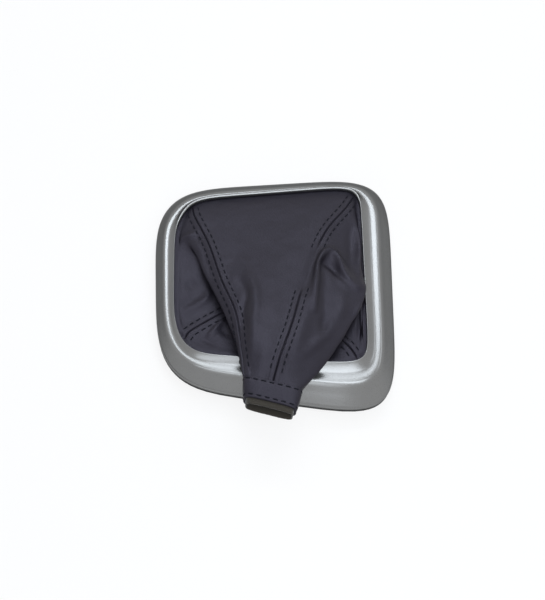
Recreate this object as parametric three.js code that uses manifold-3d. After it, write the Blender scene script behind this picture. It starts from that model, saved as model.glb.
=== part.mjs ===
// Gear lever gaiter: a moulded trim frame with a sewn leather gaiter that has flopped over its near rail.
// Millimetres. +X is the thick rail, +Y is the far side, +Z is up. The tips of the clip legs stand on z = 0.
// Sizes are laid out about the middle of the trim frame, and the whole is set over the origin at the end.
import * as THREE from 'three';
import { mergeVertices } from 'three/addons/utils/BufferGeometryUtils.js';
import Module from 'manifold-3d';

// Trim frame: a rounded trapezoid. Its edge, shoulder and lip are nearly symmetric about X.
const FRAME_HALF_WIDTH = 75;      // half the width along X
const SHORT_SIDE_HALF = 69.6;     // half the depth along Y at the thin rail
const LONG_SIDE_HALF = 87.2;      // half the depth along Y at the thick rail
const FAR_SIDE_GAIN = { edge: 0.03, shoulder: 0.023, lip: 0.007 };   // shares by which the far side is wider
const OUTLINE_SHIFT = { edge: 0.1, shoulder: 0.1, lip: 1.84 };        // along Y, of each outline's middle
const OUTLINE_SLOPE = { edge: -0.02, shoulder: 0.012, lip: 0.032 };   // along Y per unit of X
const THIN_RAIL_SKIRT = 7;        // plan width of the skirt on each rail
const THICK_RAIL_SKIRT = 12.7;
const SIDE_SKIRT_AT_THIN = 10.4;
const SIDE_SKIRT_AT_THICK = 15.4;
const THIN_RAIL_BAND = 4.5;       // plan width of the raised inner band on each rail
const THICK_RAIL_BAND = 7.2;
const SIDE_BAND_AT_THIN = 4.3;
const SIDE_BAND_AT_THICK = 6.8;
const OUTER_SQUARENESS = { thin: 4.1, thick: 5.6 };   // superellipse exponents at the two ends
const SHOULDER_SQUARENESS = { thin: 4.4, thick: 7.6 };
const INNER_SQUARENESS = { thin: 4.6, thick: 10.2 };
const SHOULDER_HEIGHT = 15.4;     // over the lower edge of the trim
const LIP_HEIGHT = 19.4;          // top of the inner lip
const LIP_DEPTH = 2.5;            // from the lip down to its lower rim
const LIP_ROUND = 0.3;
const TRIM_WALL = 2.1;
const EDGE_LIP = 0.5;             // thin step along the lower edge, its height and its rounding
const EDGE_STEP = 1.4;
const EDGE_ROUND = 0.3;

// Black carrier below the trim.
const SEAT_THICKNESS = 2.1;
const SEAT_INSET = 0.2;           // carrier edge inside the trim edge
const CARRIER_WALL = 2;
const WALL_FOOT = 2.4;            // foot of the carrier's wall outside the line of the lip
const WALL_NECK = { out: 0.6, drop: 3 };              // where it turns in to the clamp
const CLIP_LEG = { width: 11, length: 8, thickness: 2, root: 6, tipWidth: 8, window: [6, 3] };
const CLIP_TAPER = 0.6;           // shares of a leg's length where it tapers and where its window starts
const CLIP_WINDOW_TOP = 0.25;
const LEGS = [                    // bearings of the outermost legs on each rail, in degrees
  { rail: 'thick', count: 2, from: -13, to: 13 },
  { rail: 'far', count: 2, from: 78, to: 102 },
  { rail: 'thin', count: 2, from: 167, to: 193 },
  { rail: 'near', count: 2, from: 258, to: 282 },
];

// Leather, lining and clearances.
const LEATHER = 1.2;
const CLAMP_WIDTH = 1.8;          // leather held under the lip
const CLEARANCE = 0.3;
const SEAM_GAP = 0.4;
const SLEEVE_RISE = 20;           // height that the folds' heights and widths are shares of
const LEATHER_TURN = { start: 1.1, end: 2.4, rise: 0.15 };   // inside the lip, where the leather turns up

// Collar: a flattened sleeve end that hangs over the near rail, its mouth just past the trim's edge.
const COLLAR_ASIDE = -4.3;        // its middle along X where it starts
const COLLAR_PAST_EDGE = 1.6;     // its start beyond the trim's near edge
const COLLAR_OVER_LIP = 2.8;      // its under side over the lip
const COLLAR_LENGTH = 13.4;
const COLLAR_DRIFT = -1.9;        // sideways and down over that length
const COLLAR_DROOP = -1.5;
const COLLAR_START = { halfWidth: 17.5, halfHeight: 5.3, turn: -13.7 };
const COLLAR_END = { halfWidth: 15.4, halfHeight: 4.9, turn: -14.7 };
const COLLAR_SQUARENESS = 4.2;
const MOUTH_SLANT = 0.22;         // the lower wall reaches further than the upper one
const BAND_WALL = 1.3;
const BAND_STAND = 0.4;           // how far the band stands proud of the panels
const LINING_WALL = 0.7;
const LINING_SHOW = 0.9;          // how far the lining reaches past the band

const STATIONS = 74;              // facets around the trim
const COLLAR_STATIONS = 32;
const TURN_LENGTH = 600;          // a full turn of an outline earns as many facets as this length of it
const OUTLINE_STEPS = 2880;

const vec = (x, y, z = 0) => new THREE.Vector3(x, y, z);
const mix = THREE.MathUtils.lerp;
const rad = THREE.MathUtils.degToRad;
const signedPower = (value, power) => Math.sign(value) * Math.abs(value) ** power;

// The trim's lower edge is this far above the floor.
const TRIM_BASE = CLIP_LEG.length + SEAT_THICKNESS + CLEARANCE;

// Three outlines carry the trim: its edge, its shoulder and its lip.
const edgeSize = {
  thin: FRAME_HALF_WIDTH, thick: FRAME_HALF_WIDTH, sideThin: SHORT_SIDE_HALF, sideThick: LONG_SIDE_HALF,
};
const shoulderSize = {
  thin: edgeSize.thin - THIN_RAIL_SKIRT,
  thick: edgeSize.thick - THICK_RAIL_SKIRT,
  sideThin: edgeSize.sideThin - SIDE_SKIRT_AT_THIN,
  sideThick: edgeSize.sideThick - SIDE_SKIRT_AT_THICK,
};
const lipSize = {
  thin: shoulderSize.thin - THIN_RAIL_BAND,
  thick: shoulderSize.thick - THICK_RAIL_BAND,
  sideThin: shoulderSize.sideThin - SIDE_BAND_AT_THIN,
  sideThick: shoulderSize.sideThick - SIDE_BAND_AT_THICK,
};

function outlinePoint(name, size, squareness, angle) {
  const c = Math.cos(angle), s = Math.sin(angle);
  const power = 2 / mix(squareness.thin, squareness.thick, 0.5 + 0.5 * c);
  const across = signedPower(c, power), along = signedPower(s, power);
  const x = across * (across > 0 ? size.thick : size.thin);
  const reach = (x + size.thin) / (size.thin + size.thick);
  const y = along * mix(size.sideThin, size.sideThick, reach);
  return vec(x * (1 + FAR_SIDE_GAIN[name] * along), y + OUTLINE_SHIFT[name] + OUTLINE_SLOPE[name] * x);
}

const outlines = [
  (angle) => outlinePoint('edge', edgeSize, OUTER_SQUARENESS, angle),
  (angle) => outlinePoint('shoulder', shoulderSize, SHOULDER_SQUARENESS, angle),
  (angle) => outlinePoint('lip', lipSize, INNER_SQUARENESS, angle),
];

// A place on the rail: 0 is the trim's edge, 1 its shoulder, 2 its lip. inward is a further step to the middle.
function railPoint(place, inward, angle) {
  const at = (a) => {
    const first = Math.min(Math.floor(place), 1);
    return outlines[first](a).lerp(outlines[first + 1](a), place - first);
  };
  const step = 1e-3;
  const tangent = at(angle + step).sub(at(angle - step)).normalize();
  return at(angle).add(vec(-tangent.y, tangent.x).multiplyScalar(inward));
}

// Angles that share out the length and the turning of an outline evenly.
function evenAngles(outline, count) {
  const cost = [0];
  let before = outline(0), way = null;
  for (let i = 1; i <= OUTLINE_STEPS; i++) {
    const here = outline((i / OUTLINE_STEPS) * 2 * Math.PI);
    const ahead = here.clone().sub(before);
    const turn = way ? way.angleTo(ahead) : 0;
    cost.push(cost[i - 1] + ahead.length() / TURN_LENGTH + turn / (2 * Math.PI));
    before = here;
    way = ahead;
  }
  const angles = [];
  for (let k = 0, i = 0; k < count; k++) {
    const target = (k / count) * cost[OUTLINE_STEPS];
    while (cost[i + 1] < target) i++;
    const part = (target - cost[i]) / (cost[i + 1] - cost[i]);
    angles.push(((i + part) / OUTLINE_STEPS) * 2 * Math.PI);
  }
  return angles;
}

// Closed bodies from a grid of rows that wraps both ways, or from a grid whose rows and columns end.
function geometryFrom(positions, indices) {
  const geometry = new THREE.BufferGeometry();
  const numbers = positions.flatMap((p) => p.toArray());
  geometry.setAttribute('position', new THREE.Float32BufferAttribute(numbers, 3));
  geometry.setIndex(indices);
  return geometry;
}

function wrappedBody(rows) {
  const count = rows[0].length, indices = [];
  for (let r = 0; r < rows.length; r++) {
    for (let c = 0; c < count; c++) {
      const next = (c + 1) % count, below = ((r + 1) % rows.length) * count, here = r * count;
      indices.push(here + c, here + next, below + c, here + next, below + next, below + c);
    }
  }
  return geometryFrom(rows.flat(), indices);
}

function sheetBody(outer, inner) {
  const rows = outer.length, count = outer[0].length, half = rows * count, indices = [];
  const quad = (a, b, c, d) => indices.push(a, b, c, a, c, d);
  for (let r = 0; r + 1 < rows; r++) {
    for (let c = 0; c + 1 < count; c++) {
      const a = r * count + c, b = a + 1, d = a + count, e = d + 1;
      quad(a, b, e, d);
      quad(half + a, half + d, half + e, half + b);
    }
  }
  for (let c = 0; c + 1 < count; c++) {
    const last = (rows - 1) * count + c;
    quad(c + 1, c, half + c, half + c + 1);
    quad(last, last + 1, half + last + 1, half + last);
  }
  for (let r = 0; r + 1 < rows; r++) {
    const left = r * count, right = left + count - 1;
    quad(left, left + count, half + left + count, half + left);
    quad(right + count, right, half + right, half + right + count);
  }
  return geometryFrom([...outer.flat(), ...inner.flat()], indices);
}

const stations = evenAngles(outlines[1], STATIONS);
const railLoop = (profile) => wrappedBody(profile.map(([place, inward, height]) =>
  stations.map((angle) => railPoint(place, inward, angle).setZ(TRIM_BASE + height))));

// Trim: skirt, shoulder ledge, raised band and lip outside, then the hollow back.
function trimProfile() {
  const rim = LIP_HEIGHT - LIP_DEPTH, rise = LIP_HEIGHT - SHOULDER_HEIGHT;
  return [
    [0, EDGE_LIP, 0], [0, 0, EDGE_ROUND], [0, 0, EDGE_STEP], [0, EDGE_LIP, EDGE_STEP + EDGE_LIP],
    [0.10, 0, SHOULDER_HEIGHT * 0.20], [0.27, 0, SHOULDER_HEIGHT * 0.43], [0.50, 0, SHOULDER_HEIGHT * 0.69],
    [0.71, 0, SHOULDER_HEIGHT * 0.875], [0.87, 0, SHOULDER_HEIGHT * 0.98],
    [1.18, 0, SHOULDER_HEIGHT + rise * 0.02], [1.38, 0, SHOULDER_HEIGHT + rise * 0.22],
    [1.62, 0, SHOULDER_HEIGHT + rise * 0.58], [1.86, 0, SHOULDER_HEIGHT + rise * 0.93],
    [1.95, 0, LIP_HEIGHT], [2, 0, LIP_HEIGHT - LIP_ROUND],
    [2, LIP_ROUND, rim], [2, LIP_ROUND - TRIM_WALL, rim],
    [1.3, 0, SHOULDER_HEIGHT - TRIM_WALL * 0.4], [0.98, 0, SHOULDER_HEIGHT - TRIM_WALL],
    [0.62, TRIM_WALL * 0.3, SHOULDER_HEIGHT * 0.8 - TRIM_WALL],
    [0.36, TRIM_WALL * 0.6, SHOULDER_HEIGHT * 0.54 - TRIM_WALL],
    [0.14, TRIM_WALL * 0.9, SHOULDER_HEIGHT * 0.12], [0, EDGE_LIP + TRIM_WALL, 0],
  ];
}

// Carrier: a flat seat flange under the trim's edge and a wall that rises to clamp the leather under the lip.
const clampTop = LIP_HEIGHT - LIP_DEPTH - LEATHER - 2 * CLEARANCE;
function carrierProfile() {
  const seat = -CLEARANCE - SEAT_THICKNESS, neck = clampTop - WALL_NECK.drop;
  return [
    [0, SEAT_INSET, seat], [0, SEAT_INSET, -CLEARANCE], [2, -WALL_FOOT - CARRIER_WALL, -CLEARANCE],
    [2, -WALL_NECK.out - CARRIER_WALL, neck], [2, -CLAMP_WIDTH, clampTop], [2, CLEARANCE, clampTop],
    [2, CLEARANCE, clampTop - CARRIER_WALL], [2, -WALL_NECK.out, neck], [2, -WALL_FOOT, seat],
  ];
}

const wasm = await Module();
wasm.setup();

function toSolid(geometry) {
  const plain = geometry.clone();
  plain.deleteAttribute('normal');
  plain.deleteAttribute('uv');
  const merged = mergeVertices(plain, 1e-4);
  const triVerts = new Uint32Array(merged.index.array);
  const vertProperties = new Float32Array(merged.attributes.position.array);
  return new wasm.Manifold(new wasm.Mesh({ numProp: 3, vertProperties, triVerts }));
}

function toGeometry(solid) {
  const mesh = solid.getMesh();
  const geometry = new THREE.BufferGeometry();
  geometry.setAttribute('position', new THREE.BufferAttribute(mesh.vertProperties, mesh.numProp));
  geometry.setIndex(new THREE.BufferAttribute(mesh.triVerts, 1));
  return geometry;
}

// One clip leg: a tapered tongue with a latch window, its top sunk into the carrier's wall.
function clipLeg(angle) {
  const { width, length, thickness, root, tipWidth, window: [windowWidth, windowHeight] } = CLIP_LEG;
  const tongue = new THREE.Shape([
    vec(-width / 2, root), vec(-width / 2, -length * CLIP_TAPER), vec(-tipWidth / 2, -length),
    vec(tipWidth / 2, -length), vec(width / 2, -length * CLIP_TAPER), vec(width / 2, root),
  ]);
  const top = -length * CLIP_WINDOW_TOP;
  tongue.holes.push(new THREE.Path([
    vec(-windowWidth / 2, top), vec(windowWidth / 2, top),
    vec(windowWidth / 2, top - windowHeight), vec(-windowWidth / 2, top - windowHeight),
  ]));
  const leg = new THREE.ExtrudeGeometry(tongue, { depth: thickness, bevelEnabled: false });
  const seat = TRIM_BASE - CLEARANCE - SEAT_THICKNESS;
  const foot = railPoint(2, -WALL_FOOT - thickness / 4, angle).setZ(seat);
  const inner = railPoint(2, 0, angle).setZ(seat);
  const inwards = inner.clone().sub(foot).normalize();
  const sideways = new THREE.Vector3().crossVectors(vec(0, 0, 1), inwards);
  leg.applyMatrix4(new THREE.Matrix4().makeBasis(sideways, vec(0, 0, 1), inwards).setPosition(foot));
  return leg;
}

function clipFrame() {
  let solid = toSolid(railLoop(carrierProfile()));
  for (const { count, from, to } of LEGS) {
    for (let i = 0; i < count; i++) {
      const bearing = mix(from, to, count > 1 ? i / (count - 1) : 0.5);
      solid = solid.add(toSolid(clipLeg(rad(bearing))));
    }
  }
  return toGeometry(solid);
}

// Gaiter: a closed loft. Each guide runs from the clamp under the lip to the collar. base is the bearing in
// degrees where it leaves the frame, collar the angle where it meets the collar, and span the facets to the
// next guide. Its points are the places it passes: shares of the opening's half width and half depth, then its
// height over the clamp as a share of the sleeve's rise.
const guides = [
  { name: 'far', base: 91.5, collar: 112, span: 9, points: [
    [-0.03, 0.83, 0.13], [-0.06, 0.35, 0.405], [-0.11, -0.19, 0.705],
    [-0.16, -0.67, 0.905], [-0.19, -1.04, 0.955]] },
  { name: 'seam_far_thin', base: 137, collar: 158, span: 3, points: [
    [-0.81, 0.76, 0.08], [-0.67, 0.36, 0.255], [-0.54, -0.15, 0.455],
    [-0.41, -0.55, 0.605], [-0.36, -0.93, 0.655]] },
  { name: 'fold_thin', base: 150.3, collar: 184, span: 6, points: [
    [-0.92, 0.52, 0.03], [-0.84, 0.37, 0.105], [-0.7, -0.05, 0.23],
    [-0.54, -0.47, 0.355], [-0.41, -0.88, 0.455]] },
  { name: 'under_thin', base: 172, collar: 212, span: 8, points: [
    [-0.91, 0.09, -0.025], [-0.52, -0.18, -0.055], [-0.41, -0.17, 0.055],
    [-0.44, -0.3, 0.17], [-0.35, -0.9, 0.22]] },
  { name: 'seam_near_thin', base: 218, collar: 242, span: 8, points: [
    [-0.84, -0.71, -0.045], [-0.43, -0.38, -0.065], [-0.34, -0.33, 0.05],
    [-0.35, -0.43, 0.175], [-0.24, -0.94, 0.215]] },
  { name: 'near', base: 260.8, collar: 265, span: 9, points: [
    [-0.15, -0.89, -0.035], [-0.14, -0.49, -0.075], [-0.13, -0.4, 0.045],
    [-0.13, -0.49, 0.175], [-0.11, -0.96, 0.215]] },
  { name: 'seam_near_thick', base: 310, collar: 290, span: 5, points: [
    [0.78, -0.75, -0.035], [0.4, -0.45, -0.07], [0.36, -0.36, 0.06],
    [0.31, -0.46, 0.195], [0.07, -1, 0.225]] },
  { name: 'under_thick', base: 332.3, collar: 322, span: 8, points: [
    [0.93, -0.42, -0.02], [0.73, -0.35, -0.045], [0.6, -0.28, 0.075],
    [0.53, -0.39, 0.195], [0.29, -1.01, 0.245]] },
  { name: 'fold_thick', base: 384.7, collar: 368, span: 5, points: [
    [0.98, 0.24, 0.055], [0.97, 0.04, 0.13], [0.99, -0.22, 0.28],
    [0.74, -0.68, 0.405], [0.46, -1.09, 0.48]] },
  { name: 'ridge_thick', base: 400.6, collar: 428, span: 4, points: [
    [0.93, 0.58, 0.08], [0.77, 0.31, 0.18], [0.59, -0.13, 0.53],
    [0.43, -0.67, 0.705], [0.25, -1.07, 0.755]] },
  { name: 'seam_far_thick', base: 408.3, collar: 450, span: 9, points: [
    [0.83, 0.78, 0.13], [0.56, 0.45, 0.33], [0.28, -0.22, 0.655],
    [0.13, -0.71, 0.855], [0, -1.07, 0.905]] },
];

// Local folds of the leather: how high a crest stands and how wide it is, as shares of the sleeve's rise, and
// the places that it passes, as shares of the opening.
const folds = [
  { name: 'arch', height: 0.13, radius: 0.18,
    crest: [[0.47, 0.01], [0.51, 0.15], [0.61, 0.22], [0.7, 0.14], [0.78, -0.01], [0.91, -0.16]] },
  { name: 'arch_limb', height: 0.1, radius: 0.22,
    crest: [[0.47, 0.01], [0.38, -0.28], [0.27, -0.65], [0.17, -0.98]] },
  { name: 'pocket', height: -0.08, radius: 0.2, crest: [[0.61, -0.01], [0.77, -0.13], [0.92, -0.24]] },
  { name: 'middle', height: 0.08, radius: 0.25,
    crest: [[-0.3, 0.05], [-0.24, -0.27], [-0.23, -0.57], [-0.25, -0.93]] },
];
const CREST_STEPS = 40;
const CREST_SPAN = [0.12, 0.88];   // part of a half wave that fades a crest out at both ends
const FOLD_FACING = [0.15, 0.6];   // upward slope from which a fold starts and is full
const FOLD_ROWS = [4, 6];          // rows from the clamp where a fold starts and is full
const ROWS_PER_SPAN = [1, 2, 2, 4, 6, 5, 4, 3];

const BEARINGS = 720;
const bearingTable = evenAngles(outlines[2], BEARINGS).map((angle) => {
  const p = outlines[2](angle);
  return { angle, bearing: Math.atan2(p.y, p.x) };
});
function lipAngleAt(bearing) {
  const turn = Math.atan2(Math.sin(bearing), Math.cos(bearing));
  let best = bearingTable[0];
  for (const entry of bearingTable) {
    if (Math.abs(entry.bearing - turn) < Math.abs(best.bearing - turn)) best = entry;
  }
  return best.angle;
}

// A place over the opening from shares of its half width and half depth and a height over the clamp.
const clampLevel = TRIM_BASE + LIP_HEIGHT - LIP_DEPTH;
function halfDepthAt(size, x) {
  return mix(size.sideThin, size.sideThick, (x + size.thin) / (size.thin + size.thick));
}
function openingPoint([acrossShare, alongShare, height = 0]) {
  const x = acrossShare * (acrossShare > 0 ? lipSize.thick : lipSize.thin);
  return vec(x, alongShare * halfDepthAt(lipSize, x), clampLevel + height * SLEEVE_RISE);
}

const collarStart = vec(COLLAR_ASIDE, -halfDepthAt(edgeSize, COLLAR_ASIDE) - COLLAR_PAST_EDGE,
  TRIM_BASE + LIP_HEIGHT + COLLAR_OVER_LIP + COLLAR_START.halfHeight);
const collarEnd = collarStart.clone().add(vec(COLLAR_DRIFT, -COLLAR_LENGTH, COLLAR_DROOP));

// A point of the collar section: share 0 is its start, 1 its end, grow widens it, extra moves it outward.
function collarPoint(share, angle, grow = 0, extra = 0) {
  const centre = collarStart.clone().lerp(collarEnd, share);
  const axis = collarEnd.clone().sub(collarStart).normalize();
  const turn = rad(mix(COLLAR_START.turn, COLLAR_END.turn, share));
  const halfWidth = mix(COLLAR_START.halfWidth, COLLAR_END.halfWidth, share) + grow;
  const halfHeight = mix(COLLAR_START.halfHeight, COLLAR_END.halfHeight, share) + grow;
  const across = signedPower(Math.cos(angle), 2 / COLLAR_SQUARENESS) * halfWidth;
  const up = signedPower(Math.sin(angle), 2 / COLLAR_SQUARENESS) * halfHeight;
  const reach = extra - share * MOUTH_SLANT * up;
  return centre.add(vec(Math.cos(turn) * across, Math.sin(turn) * across, up)).addScaledVector(axis, reach);
}

// Column i of the loft: from the clamped rim, past the rings through the guides, to the collar.
function gaiterColumns() {
  const count = guides.length;
  const rings = guides[0].points.map((_, k) => new THREE.CatmullRomCurve3(
    guides.map((guide) => openingPoint(guide.points[k])), true, 'centripetal'));
  const clampHeight = clampLevel - CLEARANCE;
  const columns = [];
  guides.forEach((guide, g) => {
    const next = guides[(g + 1) % count], wrap = g + 1 === count ? 360 : 0;
    for (let i = 0; i < guide.span; i++) {
      const t = i / guide.span;
      const lipAngle = lipAngleAt(rad(mix(guide.base, next.base + wrap, t)));
      const collarAngle = rad(mix(guide.collar, next.collar + wrap, t));
      const rim = (inward, rise = 0) => railPoint(2, inward, lipAngle).setZ(clampHeight + rise);
      columns.push({
        seam: i === 0 && guide.name.startsWith('seam'),
        points: [
          rim(-CLAMP_WIDTH), rim(LEATHER_TURN.start), rim(LEATHER_TURN.end, LEATHER_TURN.rise),
          ...rings.map((ring) => ring.getPoint((g + t) / count)), collarPoint(0, collarAngle),
        ],
      });
    }
  });
  return columns;
}

function gaiterGrid(columns) {
  const rows = [];
  const curves = columns.map((column) => new THREE.CatmullRomCurve3(column.points, false, 'centripetal'));
  const spans = columns[0].points.length - 1;
  for (let s = 0; s < spans; s++) {
    for (let i = 0; i < ROWS_PER_SPAN[s]; i++) {
      rows.push(curves.map((curve) => curve.getPoint((s + i / ROWS_PER_SPAN[s]) / spans)));
    }
  }
  rows.push(curves.map((curve) => curve.getPoint(1)));
  return rows;
}

// Folds lift or sink what faces up, and fade out toward the ends of their crest.
function crestShape({ crest, radius, height }) {
  const curve = new THREE.CatmullRomCurve3(crest.map((place) => openingPoint(place).setZ(0)));
  const spots = curve.getSpacedPoints(CREST_STEPS);
  return (point) => {
    let nearest = Infinity, along = 0;
    spots.forEach((spot, i) => {
      const distance = Math.hypot(spot.x - point.x, spot.y - point.y);
      if (distance < nearest) {
        nearest = distance;
        along = i / CREST_STEPS;
      }
    });
    const fade = Math.sqrt(Math.sin(Math.PI * mix(...CREST_SPAN, along)));
    return height * SLEEVE_RISE * Math.exp(-((nearest / (radius * SLEEVE_RISE)) ** 2)) * fade;
  };
}

function foldGrid(rows) {
  const shapes = folds.map(crestShape);
  const normals = gridNormals(rows);
  return rows.map((row, r) => row.map((point, c) => {
    const facingUp = THREE.MathUtils.smoothstep(normals[r][c].z, ...FOLD_FACING);
    const beyondClamp = THREE.MathUtils.smoothstep(r, ...FOLD_ROWS);
    const lift = shapes.reduce((sum, shape) => sum + shape(point), 0);
    return point.clone().addScaledVector(normals[r][c], lift * facingUp * beyondClamp);
  }));
}

function gridNormals(rows) {
  const count = rows[0].length;
  return rows.map((row, r) => row.map((_, c) => {
    const up = rows[Math.min(r + 1, rows.length - 1)][c].clone().sub(rows[Math.max(r - 1, 0)][c]);
    const round = row[(c + 1) % count].clone().sub(row[(c + count - 1) % count]);
    return round.cross(up).normalize();
  }));
}

// A panel is cut from the grid between two seams, a little short of each seam, and given its thickness.
function panelGeometry(rows, normals, from, to) {
  const count = rows[0].length, width = to - from;
  const skin = (depth) => rows.map((row, r) => {
    const line = [];
    for (let c = 0; c <= width; c++) {
      const at = (from + c) % count;
      line.push(row[at].clone().addScaledVector(normals[r][at], -depth));
    }
    const pull = (edge, beside) => edge.addScaledVector(beside.clone().sub(edge).normalize(), SEAM_GAP / 2);
    pull(line[0], line[1]);
    pull(line[width], line[width - 1]);
    return line;
  });
  return sheetBody(skin(0), skin(LEATHER));
}

const columns = gaiterColumns();
const gaiterRows = foldGrid(gaiterGrid(columns));
const gaiterNormals = gridNormals(gaiterRows);
const seams = columns.map((column, i) => (column.seam ? i : -1)).filter((i) => i >= 0);
const [seamFarThin, seamNearThin, seamNearThick, seamFarThick] = seams;
const panel = (from, to) =>
  panelGeometry(gaiterRows, gaiterNormals, from, to > from ? to : to + columns.length);

// A flattened ring: outer and inner skins of the collar between two shares of its length.
function collarRing(grow, wall, startGap, endExtra) {
  const angles = Array.from({ length: COLLAR_STATIONS }, (_, i) => (i / COLLAR_STATIONS) * 2 * Math.PI);
  const skin = (share, offset, extra) => angles.map((angle) => collarPoint(share, angle, offset, extra));
  const steps = [0, 0.33, 0.67, 1];
  const extraAt = (share) => mix(startGap, endExtra, share);
  const outside = steps.map((share) => skin(share, grow, extraAt(share)));
  const inside = [...steps].reverse().map((share) => skin(share, grow - wall, extraAt(share)));
  return wrappedBody([...outside, ...inside]);
}

// Finishes.
const satinSilver = { color: '#b9bbc0', roughness: 0.35, metalness: 0.7 };
const blackPlastic = { color: '#1b1b1d', roughness: 0.6, metalness: 0 };
const leather = { color: '#3c3a44', roughness: 0.55, metalness: 0 };
const lining = { color: '#6a5f52', roughness: 0.9, metalness: 0 };

const gaiter = new THREE.Group();
function addPiece(name, geometry, finish) {
  const mesh = new THREE.Mesh(geometry, new THREE.MeshStandardMaterial(finish));
  mesh.name = name;
  gaiter.add(mesh);
}
addPiece('trim_bezel', railLoop(trimProfile()), satinSilver);
addPiece('clip_frame', clipFrame(), blackPlastic);
addPiece('front_panel', panel(seamFarThick, seamFarThin), leather);
addPiece('left_panel', panel(seamFarThin, seamNearThin), leather);
addPiece('rear_panel', panel(seamNearThin, seamNearThick), leather);
addPiece('right_panel', panel(seamNearThick, seamFarThick), leather);
addPiece('collar_band', collarRing(BAND_STAND, BAND_WALL, CLEARANCE, 0), leather);
const liningGrow = BAND_STAND - BAND_WALL - CLEARANCE;
addPiece('collar_lining', collarRing(liningGrow, LINING_WALL, CLEARANCE, LINING_SHOW), lining);

// The origin is under the middle of the whole, on the floor that the clip legs stand on.
const extent = new THREE.Box3().setFromObject(gaiter);
const middle = extent.getCenter(vec(0, 0));
gaiter.position.set(-middle.x, -middle.y, -extent.min.z);

export default gaiter;
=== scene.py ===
# %% [markdown]
# # A gear lever gaiter
# A car's gear lever comes up through a sewn leather sleeve that is clamped in a moulded silver trim frame.
# Here the sleeve has been taken off its lever, so it has flopped over the near rail and its collar hangs
# free. The CAD model is the fixed frame: it says how big everything is and where it stands, in metres. This
# lesson dresses it. The trim, the four leather panels and the collar are rebuilt finer, from the same
# measurements, and the moulded carrier below keeps its CAD shape and gets a finish.

import bpy
import numpy as np
from mathutils import Matrix, Vector, noise
from mathutils.kdtree import KDTree


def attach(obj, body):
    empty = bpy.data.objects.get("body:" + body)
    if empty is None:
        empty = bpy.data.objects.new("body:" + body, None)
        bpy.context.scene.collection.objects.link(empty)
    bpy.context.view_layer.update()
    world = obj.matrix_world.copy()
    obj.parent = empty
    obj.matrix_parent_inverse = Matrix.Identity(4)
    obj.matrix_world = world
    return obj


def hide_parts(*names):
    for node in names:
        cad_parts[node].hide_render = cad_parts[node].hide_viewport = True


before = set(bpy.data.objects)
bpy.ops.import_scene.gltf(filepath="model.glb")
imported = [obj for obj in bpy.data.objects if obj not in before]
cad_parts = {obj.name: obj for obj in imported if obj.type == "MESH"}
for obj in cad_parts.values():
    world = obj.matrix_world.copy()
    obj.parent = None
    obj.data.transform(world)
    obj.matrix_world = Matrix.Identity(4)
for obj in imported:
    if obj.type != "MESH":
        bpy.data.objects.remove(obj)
bpy.context.view_layer.update()

# %% [markdown]
# ## Camera
# The photograph looks down on the part at about 60 degrees, from a little left of the middle, with a lens
# that is long enough to keep the frame's sides nearly straight. The place and the turn were fitted to the
# corners of the trim, so the camera is set from those three directions: right, up and back.

# %% Camera
camera_data = bpy.data.cameras.new("camera")
camera_data.sensor_fit = "VERTICAL"
camera_data.sensor_height = 36
camera_data.lens = 78
camera = bpy.data.objects.new("camera", camera_data)
bpy.context.scene.collection.objects.link(camera)
right = Vector((0.99795741, -0.01763735, 0.06139973))
up = Vector((-0.01437263, 0.87450166, 0.48480952))
back = Vector((-0.06224492, -0.48470173, 0.87246192))
camera.matrix_world = Matrix(
    (
        (right.x, up.x, back.x, -0.05254),
        (right.y, up.y, back.y, -0.39645),
        (right.z, up.z, back.z, 0.72465),
        (0, 0, 0, 1),
    )
)
bpy.context.scene.camera = camera
print("camera height over the floor, mm:", round(camera.matrix_world.translation.z * 1000))

# %% [markdown]
# ## Helpers for finishes
# A finish is a small graph of nodes. One function adds a node with its settings and links, and one turns the
# colour that is written on a paint card into the linear numbers that a shader needs.


# %% Helpers for finishes
def linear(card):
    """An sRGB hex colour as linear red, green, blue and alpha."""
    parts = [int(card[i : i + 2], 16) / 255 for i in (1, 3, 5)]
    curve = [p / 12.92 if p <= 0.04045 else ((p + 0.055) / 1.055) ** 2.4 for p in parts]
    return (*curve, 1.0)


def add(tree, kind, settings=None, **inputs):
    """A node of that kind. Inputs are values, or the output sockets that feed them."""
    node = tree.nodes.new("ShaderNode" + kind)
    for name, value in (settings or {}).items():
        setattr(node, name, value)
    for name, value in inputs.items():
        slot = int(name[1:]) if name[1:].isdigit() else name.replace("_", " ")
        if isinstance(value, bpy.types.NodeSocket):
            tree.links.new(value, node.inputs[slot])
        else:
            node.inputs[slot].default_value = value
    return node


def finish_named(name):
    """An empty material, its node tree and its output node."""
    material = bpy.data.materials.new(name)
    material.use_nodes = True
    tree = material.node_tree
    tree.nodes.clear()
    return material, tree, tree.nodes.new("ShaderNodeOutputMaterial")


def per_mm(millimetres):
    """The scale that gives a pattern this size, for coordinates in metres."""
    return 1000 / millimetres


# %% [markdown]
# ## Satin silver paint
# The trim is moulded in ABS and sprayed with a silver basecoat and a satin lacquer. Fine aluminium flakes
# make it metallic, yet the spray scatters light, so reflections are broad and soft and have no sharp edge.
# Real flakes are far too fine to show, so they are drawn as a mottle of half a millimetre that changes the
# gloss a little. The tint at grazing angles is darker than real paint's: all round is white here, and
# without the tint the steep skirts would turn as pale as the ground.

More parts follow.
